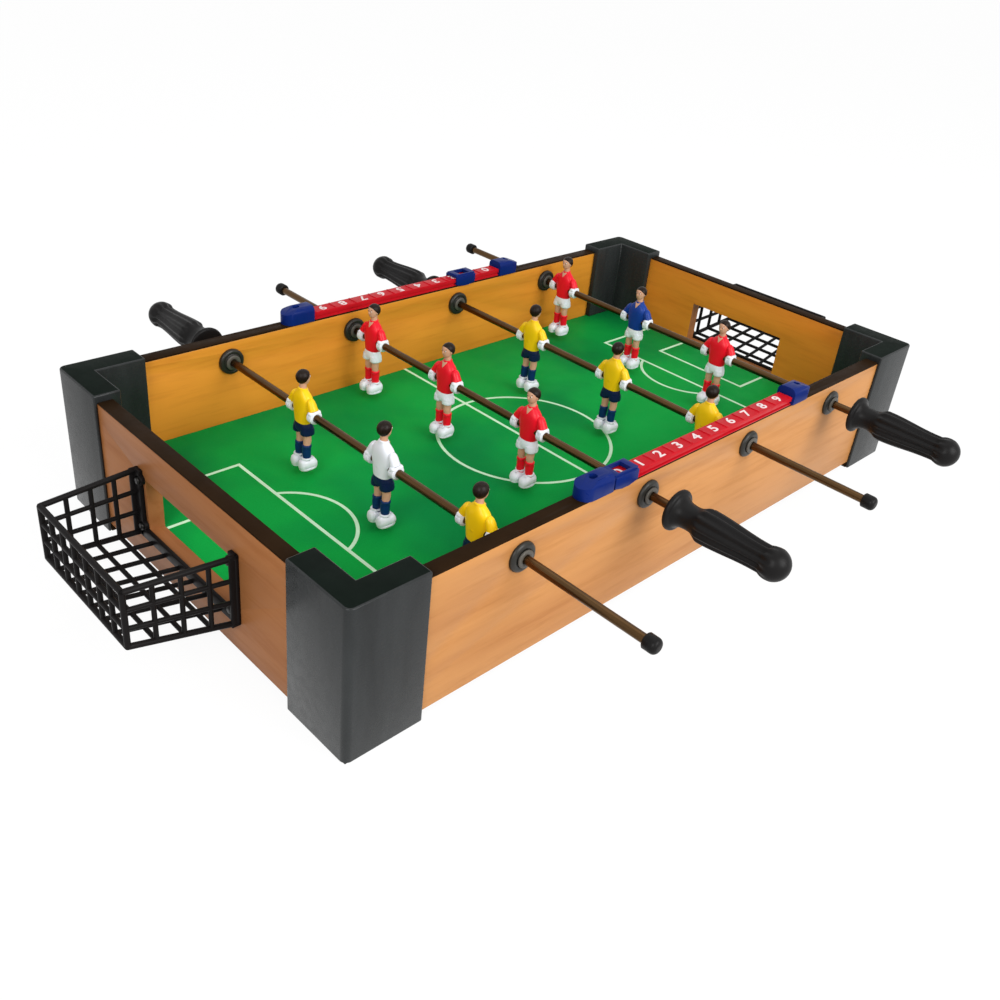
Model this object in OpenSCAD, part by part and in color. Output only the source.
// Tabletop football (foosball) game: four wooden walls held in plastic corner posts,
// a printed playing field, two net goals, two score counters and four playing rods.
// The origin is on the ground under the middle of the table. +X runs along the table towards
// the right goal, -Y is the near side and +Z is up. Sizes are in millimetres.

/* [Table] */
// Length of the table over its corner posts
table_l = 510; // [440:1:700]
// Width of the table over its corner posts
table_w = 280; // [232:1:380]
// Height of the corner posts
post_h = 90; // [84:1:120]
// Thickness of the wall boards
wall_t = 9; // [7:0.5:12]
// Height of the wall boards' lower edges above the ground
wall_lift = 4.8; // [3:0.1:8]
// Thickness of the playing field board
field_t = 5; // [3:0.5:6]
// Side of the square battens that carry the playing field
batten_s = 8; // [5:0.5:8]

/* [Corner posts] */
// Length of each arm of a corner post
post_arm = 46.5; // [34:0.5:56]
// Depth of a wall's outer face behind the post's outer face
wall_inset = 2; // [1.5:0.1:3]
// Thickness of a post's inner leg, which stands against the wall inside the table
post_leg_t = 5; // [3:0.5:7]
// Thickness of a post's top
post_cap_t = 5.3; // [4:0.1:7]
// Radius of a post's outer upright edge
post_edge_r = 4; // [1:0.1:5]
// Distance of a foot screw from the post's outer corner
foot_screw_at = 34; // [24:0.5:40]

/* [Edge trims] */
// Thickness of the plastic strip along the top of each wall
trim_t = 1.2; // [0.8:0.1:2]

/* [Goals] */
// Width of the goal opening
goal_w = 85; // [60:1:100]
// Height of the goal opening above the playing field
goal_h = 33.2; // [25:0.1:38]
// Depth of the net basket outside the wall
net_depth = 56.7; // [30:0.5:70]
// Half width of the basket where it meets the wall
net_half_in = 51.2; // [46:0.5:56]
// Half width of the basket at its outer panel
net_half_out = 45; // [35:0.5:50]
// Height of the basket's rim above the playing field at the wall
net_rim_in = 38.5; // [30:0.5:44]
// Height of the basket's rim above the playing field at its outer panel
net_rim_out = 38.7; // [30:0.1:46]
// Depth of the basket's floor below the playing field at the wall
net_drop_in = 4.4; // [3:0.5:9]
// Height of the basket's floor above the playing field at its outer panel
net_rise_out = 4.2; // [2:0.1:10]
// Thickness of the basket's bars
net_bar = 2.5; // [1.6:0.1:3]
// Width of the basket's rims and corner bars
net_rim = 3; // [2.4:0.1:4]
// Width of the flat frame that lies against the wall
net_flange = 4; // [3:0.1:5]

/* [Rods] */
// Diameter of a playing rod
rod_d = 5; // [4:0.1:6]
// Wall thickness of a rod's tube
rod_wall = 0.8; // [0.5:0.1:1]
// Distance between neighbouring rods
rod_pitch = 99; // [90:0.5:120]
// Depth of the rods' axes below the top edges of the wall boards
rod_drop = 13.1; // [12.5:0.1:20]
// Distance between neighbouring players on a rod
player_pitch = 76.8; // [50:0.1:80]
// Room that is left for pushing a rod further in from where it rests
push_room = 4; // [2:0.5:8]
// Bare rod between the handle and the bearing when the rod is pushed right in
handle_room = 11.3; // [2:0.1:20]
// Bare rod between the end cap and the bearing when the rod is pulled right out
cap_room = 10.3; // [2:0.1:20]

/* [Bearings] */
// Radius of a bearing's outer flange and of its nut
flange_r = 8.6; // [7.5:0.1:10]
// Thickness of the bearing's flange
flange_t = 2.5; // [1.5:0.1:4]
// Thickness of the bearing's nut
nut_t = 3; // [2:0.1:4]
// Outer radius of the bearing's tube
tube_r = 5.9; // [5.6:0.1:6.5]
// Outer radius of the turning sleeve
sleeve_r = 4.2; // [3.6:0.1:4.6]
// Radius of the lips that keep the sleeve in its bearing
lip_r = 5; // [4.9:0.1:6]
// Thickness of the sleeve's lips
lip_t = 1; // [0.6:0.1:1.5]

/* [Handles and caps] */
// Length of a handle
handle_l = 71.3; // [55:0.1:90]
// Radius of the handle's guard disc
guard_r = 12.1; // [10.5:0.1:14]
// Largest radius of the grip
grip_r = 10.6; // [8.5:0.1:12]
// Radius of the ball at the handle's end
ball_r = 9.3; // [8.5:0.1:10.5]
// Number of grooves round the grip
flutes = 10; // [6:1:14]
// Radius of an end cap
cap_r = 4.2; // [3.6:0.1:6]
// Length of an end cap
cap_l = 7.6; // [6:0.1:14]

/* [Players] */
// Distance from the rod's axis down to the soles
sole_drop = 38.9; // [37:0.1:44]
// Clearance between the soles and the playing field
sole_gap = 4.8; // [1.8:0.1:6]
// Half width of a player over the hands that hold the rod
hand_half = 13.4; // [12:0.1:15]
// Radius of a player's head
head_r = 4.8; // [4.2:0.1:6]
// Height of the head's centre above the rod's axis
head_up = 22; // [20:0.1:24]

/* [Score counters] */
// Distance of the counters' middle from the middle of the table
score_x = 4; // [0:0.5:20]
// Distance between neighbouring numbers
score_pitch = 17.2; // [14:0.1:20]
// Overhang of a counter's rail past the edges of the strip under it
rail_over = 0.3; // [0.1:0.1:1.5]
// Height of a counter's rail above the trim
rail_up = 5.2; // [4.2:0.1:6.5]
// Thickness of the sliding marker's sides
marker_wall = 1.2; // [1:0.1:2.4]
// Thickness of the sliding marker's top
marker_cap = 2.4; // [1.6:0.1:3]
// Length of the sliding marker
marker_l = 19; // [14:0.1:20]
// Length of an end block
block_l = 22; // [16:0.1:28]
// Height of an end block above the sliding marker
block_up = 2.2; // [0.4:0.1:3]

/* [Screws] */
// Radius of the wood screws' shanks
screw_r = 1.2; // [0.9:0.05:1.3]
// Radius of the wood screws' heads
screw_head_r = 2.2; // [1.8:0.05:2.4]
// Radius of the small screws that hold the players
pin_r = 0.9; // [0.6:0.05:1.1]

/* [Fits] */
// Clearance between pieces that are fixed to each other
fit_gap = 0.1; // [0.05:0.05:0.2]
// Radial clearance of a turning or sliding shaft
run_fit = 0.05; // [0.02:0.01:0.1]
// Clearance between flat faces that move past each other
face_gap = 0.3; // [0.2:0.05:0.5]
// Gap left before a moving piece reaches its stop
stop_gap = 0.5; // [0.3:0.1:1]

/* [Hidden] */
$fn = 48;
eps = 0.01;
ROD_NUMBERS = [1, 2, 3, 4];
NEAR = -1;
FAR = 1;
LEFT = -1;
RIGHT = 1;
CORNER_TURNS = [0, 90, 180, 270];
BLACK = [0.1, 0.1, 0.1];

// Walls and field
wall_out_x = table_l / 2 - wall_inset;
wall_out_y = table_w / 2 - wall_inset;
wall_in_x = wall_out_x - wall_t;
wall_in_y = wall_out_y - wall_t;
wall_mid_y = wall_out_y - wall_t / 2;
wall_top = post_h - post_cap_t - fit_gap;
wall_h = wall_top - wall_lift;
rod_z = wall_top - rod_drop;
field_z = rod_z - sole_drop - sole_gap;

// Corner posts: depths from the post's outer faces
post_skin = wall_inset - fit_gap;
slot_end = wall_inset + wall_t + fit_gap;
leg_end = wall_inset + wall_t + post_leg_t;

// Trims
trim_half = wall_t / 2;
trim_top = wall_top + fit_gap + trim_t;

// Bearings and rods, measured along the rod from the middle of the table
rod_r = rod_d / 2;
sleeve_end_out = wall_out_y + flange_t + face_gap + lip_t;
sleeve_end_in = wall_in_y - nut_t - face_gap - lip_t;
half_travel = sleeve_end_in - stop_gap - player_pitch - hand_half;
push_in = push_room;
pull_out = 2 * half_travel - push_room;
players_mid = push_room - half_travel;
handle_at = sleeve_end_out + push_in + handle_room;
cap_at = sleeve_end_out + pull_out + cap_room;
cap_end_t = 1.6;
rod_start = -cap_at - cap_l + cap_end_t + fit_gap;
rod_end = handle_at + handle_l - ball_r - 4;

// Score counters
SCORE_STEPS = 10;
rail_half = trim_half + rail_over;
rail_l = SCORE_STEPS * score_pitch + 4;
rail_z = trim_top + fit_gap;
rail_top = rail_z + rail_up;
rail_tab_l = 8;
rail_tab_half = 3.5;
rail_tab_t = 1.6;
rib_h = 0.5;
groove_depth = 1;
groove_h = 1.6;
groove_z = rail_z + 0.8;
marker_half = rail_half + face_gap + marker_wall;
marker_z0 = rail_top + rib_h + face_gap;
marker_top = marker_z0 + marker_cap;
tongue_z = trim_top - 0.6;
block_half = marker_half + 0.1;
block_top = marker_top + block_up;
block_corner = 4;
block_slope = 4;

// ---- Places ----

// X of a rod, which is numbered from the left goal
function rod_x(n) = (n - 2.5) * rod_pitch;

// Rods 1 and 3 have their handles on the far side and their players face the right goal;
// rods 2 and 4 are the same rod turned half round.
function rod_turn(n) = (n % 2 == 1) ? 0 : 180;

// Place of a player along its own rod: slot is -1, 0 or 1
function player_y(slot) = players_mid + slot * player_pitch;

// The slot of a player on rod n that stands towards side
function slot_of(n, side) = (n % 2 == 1) ? side : -side;

// A rod's own frame: +Y towards its handle, +X the way its players face
module at_rod(n) {
    translate([rod_x(n), 0, rod_z]) rotate([0, 0, rod_turn(n)]) children();
}

// A bearing's frame: origin on the wall's outer face, +Z outwards along the rod
module at_bearing(n, side) {
    translate([rod_x(n), side * wall_out_y, rod_z]) rotate([side * -90, 0, 0]) children();
}

// A corner's frame: origin at the post's outer corner, arms along +X and +Y
module at_corner(turn) {
    turned = turn % 180 == 90;
    rotate([0, 0, turn])
        translate([turned ? -table_w / 2 : -table_l / 2, turned ? -table_l / 2 : -table_w / 2, 0])
            children();
}

// A score counter's frame: origin in the middle of the wall's thickness at ground level,
// +Y towards the inside of the table
module at_counter(side) {
    translate([score_x, side * wall_mid_y, 0]) rotate([0, 0, side == NEAR ? 0 : 180]) children();
}

// Turns an outline in X and Y into a plate of thickness t in the YZ plane, middle at X = 0
module stand_across(t) {
    rotate([90, 0, 90]) translate([0, 0, -t / 2]) linear_extrude(t) children();
}

// Turns an outline in X and Y into a plate of thickness t in the XZ plane, middle at Y = 0
module stand_along(t) {
    rotate([90, 0, 0]) translate([0, 0, -t / 2]) linear_extrude(t) children();
}

// ---- Field and walls ----

module playfield() {
    color("green")
        translate([-wall_in_x + fit_gap, -wall_in_y + fit_gap, field_z - field_t])
            cube([2 * (wall_in_x - fit_gap), 2 * (wall_in_y - fit_gap), field_t]);
}

module field_battens() {
    batten_z = field_z - field_t - batten_s;
    long_l = 2 * (wall_in_x - fit_gap);
    short_l = 2 * (wall_in_y - batten_s - 2 * fit_gap);
    color("tan") {
        for (side = [NEAR, FAR])
            translate([-long_l / 2, side * (wall_in_y - fit_gap - batten_s / 2) - batten_s / 2, batten_z])
                cube([long_l, batten_s, batten_s]);
        for (side = [LEFT, RIGHT])
            translate([side * (wall_in_x - fit_gap - batten_s / 2) - batten_s / 2, -short_l / 2, batten_z])
                cube([batten_s, short_l, batten_s]);
    }
}

// Holes for the foot screws, in each post's place
module foot_pilots() {
    for (turn = CORNER_TURNS) at_corner(turn) foot_screw_places()
        cylinder(h = wall_lift + foot_screw_reach + fit_gap, r = screw_r + run_fit);
}

module side_wall(side) {
    color("burlywood") difference() {
        translate([-wall_out_x, side * wall_mid_y - wall_t / 2, wall_lift])
            cube([2 * wall_out_x, wall_t, wall_h]);
        for (n = ROD_NUMBERS) at_bearing(n, side)
            translate([0, 0, -wall_t - 1]) cylinder(h = wall_t + 2, r = tube_r + fit_gap);
        foot_pilots();
        at_counter(side) score_screw_places()
            translate([0, 0, wall_top - score_screw_reach - fit_gap])
                cylinder(h = score_screw_reach + 1, r = screw_r + run_fit);
    }
}

module end_wall(side) {
    color("burlywood") difference() {
        translate([side * (wall_out_x - wall_t / 2) - wall_t / 2, -wall_in_y + fit_gap, wall_lift])
            cube([wall_t, 2 * (wall_in_y - fit_gap), wall_h]);
        translate([side * (wall_out_x - wall_t / 2) - wall_t, -goal_w / 2, field_z])
            cube([2 * wall_t, goal_w, goal_h]);
        foot_pilots();
        net_screw_places(side) cylinder(h = net_screw_reach + fit_gap, r = screw_r + run_fit);
    }
}

// Cross-section of a trim: a flat strip on the wall's top edge
module trim_section() {
    translate([-trim_half, wall_top + fit_gap]) square([2 * trim_half, trim_t]);
}

module side_trim(side) {
    color("black") difference() {
        translate([0, side * wall_mid_y, 0])
            stand_across(table_l - 2 * post_arm - 2 * fit_gap) trim_section();
        at_counter(side) score_screw_places()
            translate([0, 0, wall_top - 1]) cylinder(h = trim_t + 2, r = screw_r + fit_gap);
    }
}

module end_trim(side) {
    color("black")
        translate([side * (wall_out_x - wall_t / 2), 0, 0])
            stand_along(table_w - 2 * post_arm - 2 * fit_gap) trim_section();
}

// ---- Corner posts and feet ----

// L-shaped outline that follows both walls, from depth a to depth b behind the outer faces
module corner_outline(a, b) {
    difference() {
        translate([a, a]) square([post_arm - a, post_arm - a]);
        translate([b, b]) square([post_arm, post_arm]);
    }
}

module corner_post(turn) {
    color("dimgray") at_corner(turn) difference() {
        linear_extrude(post_h) intersection() {
            corner_outline(0, leg_end);
            union() {
                translate([post_edge_r, post_edge_r]) circle(post_edge_r);
                translate([post_edge_r, 0]) square([post_arm, post_arm]);
                translate([0, post_edge_r]) square([post_arm, post_arm]);
            }
        }
        // The slot for the walls
        translate([0, 0, -1]) linear_extrude(wall_top + fit_gap + 1) difference() {
            translate([post_skin, post_skin]) square([post_arm, post_arm]);
            translate([slot_end, slot_end]) square([post_arm, post_arm]);
        }
        // The inner legs stop just above the playing field
        translate([post_skin, post_skin, -1]) cube([post_arm, post_arm, field_z + fit_gap + 1]);
    }
}

foot_screw_reach = 16;
foot_head_h = 2;
foot_sink = 0.5;

// The two screws of one post's foot, in the corner's frame
module foot_screw_places() {
    foot_mid = wall_inset + wall_t / 2;
    translate([foot_screw_at, foot_mid, 0]) children();
    translate([foot_mid, foot_screw_at, 0]) children();
}

module post_feet() {
    color("black") for (turn = CORNER_TURNS) at_corner(turn) difference() {
        linear_extrude(wall_lift - fit_gap) corner_outline(wall_inset, wall_inset + wall_t);
        foot_screw_places() {
            translate([0, 0, -1]) cylinder(h = wall_lift + 2, r = screw_r + fit_gap);
            translate([0, 0, -1]) cylinder(h = 1 + foot_sink + foot_head_h, r = screw_head_r + fit_gap);
        }
    }
}

// A pan-head wood screw that stands on its head at Z = 0 and reaches up
module wood_screw(reach, head_h) {
    rotate_extrude() polygon([
        [0, 0], [screw_head_r * 0.75, 0], [screw_head_r, head_h * 0.45], [screw_head_r, head_h],
        [screw_r, head_h], [screw_r, reach - 1.5], [screw_r * 0.25, reach], [0, reach],
    ]);
}

module foot_screws() {
    color("silver") for (turn = CORNER_TURNS) at_corner(turn) foot_screw_places()
        translate([0, 0, foot_sink]) wood_screw(wall_lift + foot_screw_reach - foot_sink, foot_head_h);
}

// ---- Goal nets ----

net_screw_reach = 7;
net_head_h = 1.4;
net_plate_t = 2.6;
// Step between the edges of panels that meet
net_set = 0.5;
// Lugs inside the frame, one for each screw
net_lug_r = 3.2;
lug_y = net_half_in - net_flange - net_lug_r / 2;
lug_zs = [3, net_rim_in - 6];

function mix(a, b, t) = a + (b - a) * t;

// A point inside the four-cornered outline q, at u along its first side and v up its second
function in_quad(q, u, v) = mix(mix(q[0], q[1], u), mix(q[3], q[2], u), v);

// A flat grid in the outline q: a rim and bars that part it into cols by rows cells
module grid_panel(q, cols, rows, rim, bar) {
    along = norm(q[1] - q[0]);
    up = norm(q[3] - q[0]);
    function start(i, size) = i == 0 ? rim / size : bar / 2 / size;
    function stop(i, count, size) = i == count - 1 ? rim / size : bar / 2 / size;
    difference() {
        polygon(q);
        for (i = [0 : cols - 1], j = [0 : rows - 1]) {
            u0 = i / cols + start(i, along);
            u1 = (i + 1) / cols - stop(i, cols, along);
            v0 = j / rows + start(j, up);
            v1 = (j + 1) / rows - stop(j, rows, up);
            polygon([in_quad(q, u0, v0), in_quad(q, u1, v0), in_quad(q, u1, v1), in_quad(q, u0, v1)]);
        }
    }
}

// One basket in its own frame: origin at field level on the wall's outer face, +X outwards.
// Its panels' middle planes start and end in the middle of what they run into.
module net_basket() {
    start_x = net_plate_t / 2;
    run_x = net_depth - net_bar / 2 - start_x;
    in_half = net_half_in - net_bar / 2;
    out_half = net_half_out - net_bar / 2;
    side_run = norm([run_x, in_half - out_half]);
    side_turn = atan((in_half - out_half) / run_x);
    floor_in = -net_drop_in + 2 * net_set;
    floor_out = net_rise_out + 2 * net_set;
    floor_run = norm([run_x, floor_out - floor_in]);
    floor_tilt = atan((floor_out - floor_in) / run_x);
    // Sides
    for (side = [NEAR, FAR]) translate([start_x, side * in_half, 0])
        rotate([0, 0, -side * side_turn]) stand_along(net_bar) grid_panel(
            [[0, net_set - net_drop_in], [side_run, net_rise_out + net_set],
             [side_run, net_rim_out - net_set], [0, net_rim_in - net_set]],
            4, 3, net_rim, net_bar);
    // Outer panel
    translate([net_depth - net_bar / 2, 0, 0]) stand_across(net_bar) grid_panel(
        [[-net_half_out - net_set, net_rise_out - net_bar], [net_half_out + net_set, net_rise_out - net_bar],
         [net_half_out + net_set, net_rim_out], [-net_half_out - net_set, net_rim_out]],
        7, 3, net_rim, net_bar);
    // Floor
    translate([start_x, 0, floor_in]) rotate([0, -floor_tilt, 0]) linear_extrude(net_bar) grid_panel(
        [[0, -in_half], [floor_run, -out_half], [floor_run, out_half], [0, in_half]],
        4, 7, net_rim, net_bar);
    // Frame that is screwed to the wall
    difference() {
        translate([net_plate_t / 2, 0, 0]) stand_across(net_plate_t) {
            difference() {
                translate([-net_half_in, -net_drop_in]) square([2 * net_half_in, net_drop_in + net_rim_in]);
                translate([-net_half_in + net_flange, -net_drop_in + net_flange])
                    square([2 * (net_half_in - net_flange), 2 * net_rim_in]);
            }
            for (side = [NEAR, FAR], z = lug_zs) translate([side * lug_y, z]) circle(net_lug_r);
        }
        basket_screw_places() translate([0, 0, -1]) cylinder(h = net_plate_t + 2, r = screw_r + fit_gap);
    }
}

// The four screws of a basket in its own frame, +Z outwards from the wall
module basket_screw_places() {
    for (side = [NEAR, FAR], z = lug_zs) translate([0, side * lug_y, z]) rotate([0, 90, 0]) children();
}

module at_goal(side) {
    translate([side * wall_out_x, 0, field_z]) rotate([0, 0, side == RIGHT ? 0 : 180]) children();
}

// Pilot holes in the wall, +Z inwards
module net_screw_places(side) {
    at_goal(side) basket_screw_places() rotate([180, 0, 0]) children();
}

module goal_net(side) {
    color(BLACK) at_goal(side) net_basket();
}

module net_screws() {
    color("silver") for (side = [LEFT, RIGHT]) at_goal(side) basket_screw_places()
        translate([0, 0, net_plate_t + net_head_h]) rotate([180, 0, 0])
            wood_screw(net_plate_t + net_head_h + net_screw_reach, net_head_h);
}

// ---- Bearings ----

sleeve_bore = rod_r + run_fit;
housing_bore = sleeve_r + run_fit;
flange_edge = 0.8;

module bearing_housings() {
    color(BLACK) for (n = ROD_NUMBERS, side = [NEAR, FAR]) at_bearing(n, side)
        rotate_extrude() polygon([
            [housing_bore, -wall_t - nut_t], [tube_r, -wall_t - nut_t], [tube_r, 0], [flange_r, 0],
            [flange_r, flange_t - flange_edge * 1.5], [flange_r - flange_edge * 1.5, flange_t],
            [housing_bore, flange_t],
        ]);
}

module bearing_nuts() {
    color(BLACK) for (n = ROD_NUMBERS, side = [NEAR, FAR]) at_bearing(n, side)
        translate([0, 0, -wall_t - nut_t]) rotate_extrude() polygon([
            [tube_r + fit_gap, 0], [flange_r - flange_edge * 1.5, 0], [flange_r, flange_edge * 1.5],
            [flange_r, nut_t], [tube_r + fit_gap, nut_t],
        ]);
}

// The pair of sleeves that one rod turns in
module sleeves(n) {
    inner = -wall_t - nut_t - face_gap - lip_t;
    outer = flange_t + face_gap + lip_t;
    color("gray") for (side = [NEAR, FAR]) at_bearing(n, side) rotate_extrude() polygon([
        [sleeve_bore, inner], [lip_r, inner], [lip_r, inner + lip_t], [sleeve_r, inner + lip_t],
        [sleeve_r, outer - lip_t], [lip_r, outer - lip_t], [lip_r, outer], [sleeve_bore, outer],
    ]);
}

// ---- Rods, handles and caps ----

// A pipe or shaft along the rod from place a to place b
module shaft(a, b, r) {
    translate([0, a, 0]) rotate([-90, 0, 0]) cylinder(h = b - a, r = r);
}

module rod(n) {
    color("silver") at_rod(n) difference() {
        shaft(rod_start, rod_end, rod_r);
        shaft(rod_start - 1, rod_end + 1, rod_r - rod_wall);
        for (slot = [-1, 0, 1]) translate([0, player_y(slot), 0])
            rotate([0, -90, 0]) cylinder(h = rod_d, r = pin_r + run_fit);
    }
}

guard_t = 3.6;
neck_r = 7.2;
waist_r = 8.9;
neck_at = 10.5;
swell_at = 21;
waist_at = handle_l - ball_r - 5.6;
grip_steps = 6;

// Radius of the grip at place s, measured from the handle's guard
function grip_radius(s) =
    s < swell_at
        ? neck_r + (grip_r - neck_r) * (1 - cos(180 * (s - neck_at) / (swell_at - neck_at))) / 2
        : grip_r + (waist_r - grip_r) * (1 - cos(180 * (s - swell_at) / (waist_at - swell_at))) / 2;

// Outline of a handle: radius against place from the guard's face
handle_outline = concat(
    [[0, 0], [guard_r - 1, 0], [guard_r, 1.1], [guard_r - 0.3, guard_t - 0.6], [guard_r - 1.4, guard_t],
     [neck_r + 0.9, guard_t + 2.6]],
    [for (i = [0 : grip_steps]) let (s = mix(neck_at, swell_at, i / grip_steps)) [grip_radius(s), s]],
    [for (i = [1 : grip_steps]) let (s = mix(swell_at, waist_at, i / grip_steps)) [grip_radius(s), s]],
    [for (a = [-30 : 12 : 90]) [ball_r * max(cos(a), 0), handle_l - ball_r + ball_r * sin(a)]],
);

module handle(n) {
    flute_r = 1.8;
    flute_l = waist_at - neck_at - 1.5;
    flute_lean = atan((grip_r - waist_r) / (waist_at - swell_at)) / 2;
    color(BLACK) at_rod(n) translate([0, handle_at, 0]) rotate([-90, 0, 0]) difference() {
        rotate_extrude() polygon(handle_outline);
        translate([0, 0, -1]) cylinder(h = rod_end - handle_at + 1 + fit_gap, r = rod_r + run_fit);
        for (i = [0 : flutes - 1]) rotate([0, 0, i * 360 / flutes])
            translate([grip_r + 0.7, 0, neck_at]) rotate([0, -flute_lean, 0])
                cylinder(h = flute_l, r = flute_r, $fn = 24);
    }
}

module end_cap(n) {
    edge = 1.1;
    color(BLACK) at_rod(n) translate([0, -cap_at, 0]) rotate([90, 0, 0]) rotate_extrude() polygon([
        [rod_r + run_fit, 0], [cap_r - edge / 2, 0], [cap_r, edge / 2], [cap_r, cap_l - edge],
        [cap_r - edge, cap_l], [0, cap_l], [0, cap_l - cap_end_t], [rod_r + run_fit, cap_l - cap_end_t],
    ]);
}

// ---- Players ----

hand_r = 4;
back_x = -4.9;
belly_x = 4.3;
pin_head_r = 1.7;
pin_head_h = 1;
leg_x = -0.2;
leg_y = 3.6;
knee_r = 2.4;
knee_l = 9;
sock_r = 3;
sock_top = -22;
boot_top = -31.6;
boot_half = 3.6;
toe_r = 3.7;
heel_x = -2.1;
toe_x = 2.7;

function mirrored(half) = concat(half, [for (i = [len(half) - 1 : -1 : 0]) [-half[i][0], half[i][1]]]);

module torso() {
    intersection() {
        stand_across(20) polygon(mirrored([
            [6.4, -8], [7, -2], [8.3, 4], [9.4, 9.2], [8.2, 12.2], [3.2, 14.8],
        ]));
        stand_along(40) polygon([
            [back_x + 0.3, -8], [back_x, 0], [back_x, 8.5], [-3.6, 12.8], [-1.9, 14.8], [1.5, 14.8],
            [3.4, 12.4], [belly_x, 7.6], [belly_x - 0.3, 1], [belly_x - 0.1, -8],
        ]);
    }
}

module shorts() {
    intersection() {
        stand_across(20) polygon([
            [-7.7, -14.6], [-0.6, -14.6], [0, -12.6], [0.6, -14.6], [7.7, -14.6], [6.6, -7], [-6.6, -7],
        ]);
        stand_along(40) polygon([[-5, -14.6], [-4.6, -7], [4, -7], [4.6, -14.6]]);
    }
}

module arm(side) {
    translate([-0.3, side * 9.1, 9.3]) {
        sphere(3);
        rotate([side * 13, 0, 0]) translate([0, 0, -10]) cylinder(h = 10, r1 = 2.5, r2 = 2.9);
    }
}

module leg(side) {
    translate([leg_x, side * leg_y, sock_top - 1]) cylinder(h = knee_l, r = knee_r);
    translate([leg_x, side * leg_y, boot_top - 0.9])
        cylinder(h = sock_top - boot_top + 0.9, r1 = sock_r, r2 = sock_r - 0.2);
    // Boot: a heel, a toe and what joins them
    translate([0, side * (leg_y + 0.4), -sole_drop]) {
        translate([heel_x, 0, 0]) cylinder(h = sole_drop + boot_top, r = boot_half);
        translate([heel_x, -boot_half, 0]) cube([toe_x - heel_x, 2 * boot_half, sole_drop + boot_top - 2.2]);
        translate([toe_x, 0, 0]) cylinder(h = toe_r + 0.1, r = toe_r);
        translate([toe_x, 0, toe_r + 0.1]) sphere(toe_r);
    }
}

// A player in its own frame: the rod along Y, the face towards +X
module player_body() {
    difference() {
        union() {
            translate([0, 0, head_up]) sphere(head_r);
            translate([-0.4, 0, 13]) cylinder(h = head_up - 13, r = 2.5);
            torso();
            shorts();
            for (side = [-1, 1]) {
                arm(side);
                leg(side);
            }
            shaft(-hand_half, hand_half, hand_r);
        }
        shaft(-hand_half - 1, hand_half + 1, rod_r + run_fit);
        rotate([0, -90, 0]) cylinder(h = 10, r = pin_r + run_fit);
        translate([back_x + pin_head_h, 0, 0]) rotate([0, -90, 0])
            cylinder(h = 10, r = pin_head_r + fit_gap);
    }
}

module player(n, side, shirt) {
    color(shirt) at_rod(n) translate([0, player_y(slot_of(n, side)), 0]) player_body();
}

// The screws that pin a rod's players: from each player's back into the tube
module player_screws(n) {
    color("silver") at_rod(n) for (slot = [-1, 0, 1])
        translate([back_x + 0.1, player_y(slot), 0]) rotate([0, 90, 0]) rotate_extrude() polygon([
            [0, 0], [pin_head_r * 0.8, 0], [pin_head_r, pin_head_h * 0.4], [pin_head_r, pin_head_h - 0.15],
            [pin_r, pin_head_h - 0.15], [pin_r, -back_x - 0.6], [0, -back_x],
        ]);
}

// ---- Score counters ----

score_screw_reach = 10;
score_head_h = 1.4;
score_sink = 3.4;
numbers_mid = SCORE_STEPS / 2 - 0.5;

// Place of number k (from 0) along a counter
function number_x(k) = (k - numbers_mid) * score_pitch;

module score_rail(side) {
    color("red") at_counter(side) {
        stand_across(rail_l) difference() {
            translate([-rail_half, rail_z]) square([2 * rail_half, rail_up]);
            // The grooves that the marker's lips run in
            for (face = [-1, 1])
                translate([face * rail_half - groove_depth, groove_z]) square([2 * groove_depth, groove_h]);
        }
        // Low ribs between the numbers
        for (k = [0 : SCORE_STEPS])
            translate([number_x(k - 0.5) - 0.6, -rail_half + 0.6, rail_top - eps])
                cube([1.2, 2 * rail_half - 1.2, rib_h + eps]);
        // Tabs that the end blocks hold down
        difference() {
            translate([-rail_l / 2 - rail_tab_l, -rail_tab_half, rail_z])
                cube([rail_l + 2 * rail_tab_l, 2 * rail_tab_half, rail_tab_t]);
            translate([-rail_l / 2 + 1, -rail_half, rail_z - 1]) cube([rail_l - 2, 2 * rail_half, 10]);
        }
    }
}

// The marker straddles the rail and shows one number through its window
module score_marker(side, number) {
    lip_y = rail_half + face_gap;
    lip_z = groove_z + face_gap;
    window = [10, 7.6];
    color("blue") at_counter(side) translate([number_x(number), 0, 0]) difference() {
        union() {
            stand_across(marker_l) {
                difference() {
                    union() {
                        translate([-marker_half, groove_z])
                            square([2 * marker_half, marker_top - groove_z - 1.2]);
                        translate([-marker_half + 1.2, groove_z])
                            square([2 * marker_half - 2.4, marker_top - groove_z]);
                    }
                    translate([-lip_y, 0]) square([2 * lip_y, marker_z0]);
                }
                // Lips that run in the rail's grooves
                for (face = [-1, 1])
                    translate([face * (lip_y - groove_depth / 2 + 0.15) - groove_depth / 2, lip_z])
                        square([groove_depth, groove_h - 2 * face_gap]);
            }
            // Pointed tongues that hang over both faces of the rail
            for (face = [-1, 1])
                translate([0, face * (lip_y + marker_half) / 2, 0]) stand_along(marker_wall)
                    polygon([
                        [-marker_l / 2, groove_z + eps], [-3, tongue_z], [3, tongue_z],
                        [marker_l / 2, groove_z + eps], [marker_l / 2, groove_z + 1],
                        [-marker_l / 2, groove_z + 1],
                    ]);
        }
        translate([-window[0] / 2, -window[1] / 2, marker_z0 - 1])
            cube([window[0], window[1], marker_cap + 2]);
    }
}

// Place of the screw of the block at one end of a counter
function block_screw_x(end) = end * (rail_l / 2 + rail_tab_l + 3);

module score_screw_places() {
    for (end = [-1, 1]) translate([block_screw_x(end), 0, 0]) children();
}

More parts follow.
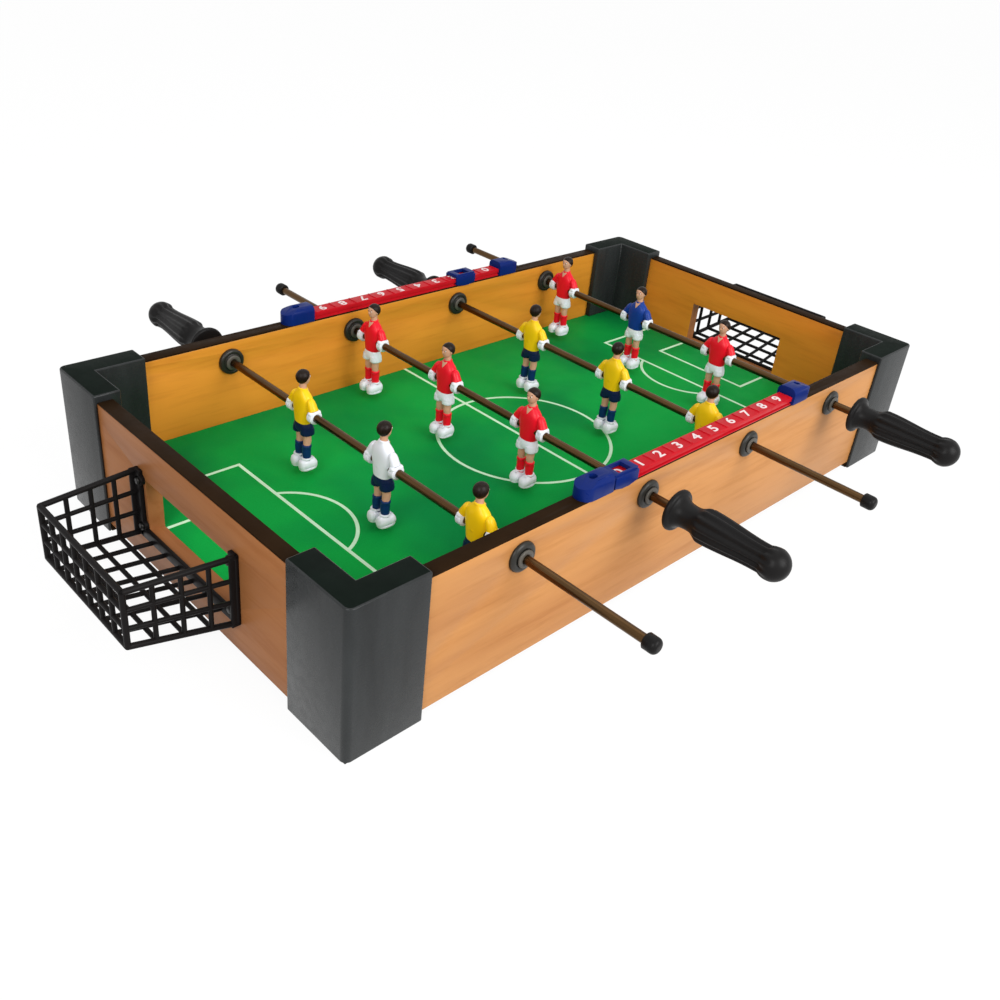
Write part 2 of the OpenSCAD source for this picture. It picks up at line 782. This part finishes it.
// An end block: a hood that is rounded in section and in plan and slopes down outwards
module score_block(end) {
    start = rail_l / 2 + fit_gap;
    difference() {
        intersection() {
            translate([end * (start + block_l / 2), 0, 0]) stand_across(block_l) union() {
                translate([-block_half, rail_z])
                    square([2 * block_half, block_top - block_corner - rail_z]);
                translate([-block_half + block_corner, rail_z])
                    square([2 * (block_half - block_corner), block_top - rail_z]);
                for (face = [-1, 1])
                    translate([face * (block_half - block_corner), block_top - block_corner])
                        circle(block_corner);
            }
            translate([end * (start + block_l - block_half), 0, rail_z - 1])
                linear_extrude(block_top) union() {
                    circle(block_half);
                    translate([end > 0 ? -block_l : 0, -block_half]) square([block_l, 2 * block_half]);
                }
            stand_along(3 * block_half) polygon([
                [end * start, 0], [end * start, block_top + 1], [end * (start + block_l / 2), block_top + 1],
                [end * (start + block_l / 2), block_top],
                [end * (start + block_l + 1), block_top - block_slope],
                [end * (start + block_l + 1), 0],
            ]);
        }
        // The pocket for the rail's tab
        translate([end * rail_l / 2 - rail_tab_l - fit_gap, -rail_tab_half - fit_gap, rail_z - 1])
            cube([2 * (rail_tab_l + fit_gap), 2 * (rail_tab_half + fit_gap), rail_tab_t + 1 + fit_gap]);
        translate([block_screw_x(end), 0, 0]) {
            cylinder(h = block_top + 1, r = screw_r + fit_gap);
            translate([0, 0, block_top - score_sink - score_head_h])
                cylinder(h = score_sink + score_head_h + 1, r = screw_head_r + fit_gap);
        }
    }
}

module score_blocks(side) {
    color("blue") at_counter(side) for (end = [-1, 1]) score_block(end);
}

module score_screws() {
    head_top = block_top - score_sink;
    color("silver") for (side = [NEAR, FAR]) at_counter(side) score_screw_places()
        translate([0, 0, head_top]) rotate([180, 0, 0])
            wood_screw(head_top - wall_top + score_screw_reach, score_head_h);
}

// ---- Nodes ----

playfield();
field_battens();
side_wall(NEAR);  // wall_near
side_wall(FAR);  // wall_far
end_wall(LEFT);  // wall_left
end_wall(RIGHT);  // wall_right
side_trim(NEAR);  // trim_near
side_trim(FAR);  // trim_far
end_trim(LEFT);  // trim_left
end_trim(RIGHT);  // trim_right
corner_post(0);  // post_near_left
corner_post(90);  // post_near_right
corner_post(180);  // post_far_right
corner_post(270);  // post_far_left
post_feet();
foot_screws();
goal_net(LEFT);  // goal_net_left
goal_net(RIGHT);  // goal_net_right
net_screws();
bearing_housings();
bearing_nuts();
score_rail(NEAR);  // score_rail_near
score_rail(FAR);  // score_rail_far
score_marker(NEAR, 0);  // score_marker_near
score_marker(FAR, 1.5);  // score_marker_far
score_blocks(NEAR);  // score_blocks_near
score_blocks(FAR);  // score_blocks_far
score_screws();
sleeves(1);  // sleeves_1
sleeves(2);  // sleeves_2
sleeves(3);  // sleeves_3
sleeves(4);  // sleeves_4
rod(1);  // rod_1
rod(2);  // rod_2
rod(3);  // rod_3
rod(4);  // rod_4
handle(1);  // handle_1
handle(2);  // handle_2
handle(3);  // handle_3
handle(4);  // handle_4
end_cap(1);  // end_cap_1
end_cap(2);  // end_cap_2
end_cap(3);  // end_cap_3
end_cap(4);  // end_cap_4
player(1, NEAR, "gold");  // player_1_near
player(1, 0, "white");  // player_1_mid
player(1, FAR, "gold");  // player_1_far
player(2, NEAR, "crimson");  // player_2_near
player(2, 0, "crimson");  // player_2_mid
player(2, FAR, "crimson");  // player_2_far
player(3, NEAR, "gold");  // player_3_near
player(3, 0, "gold");  // player_3_mid
player(3, FAR, "gold");  // player_3_far
player(4, NEAR, "crimson");  // player_4_near
player(4, 0, "mediumblue");  // player_4_mid
player(4, FAR, "crimson");  // player_4_far
player_screws(1);  // player_screws_1
player_screws(2);  // player_screws_2
player_screws(3);  // player_screws_3
player_screws(4);  // player_screws_4
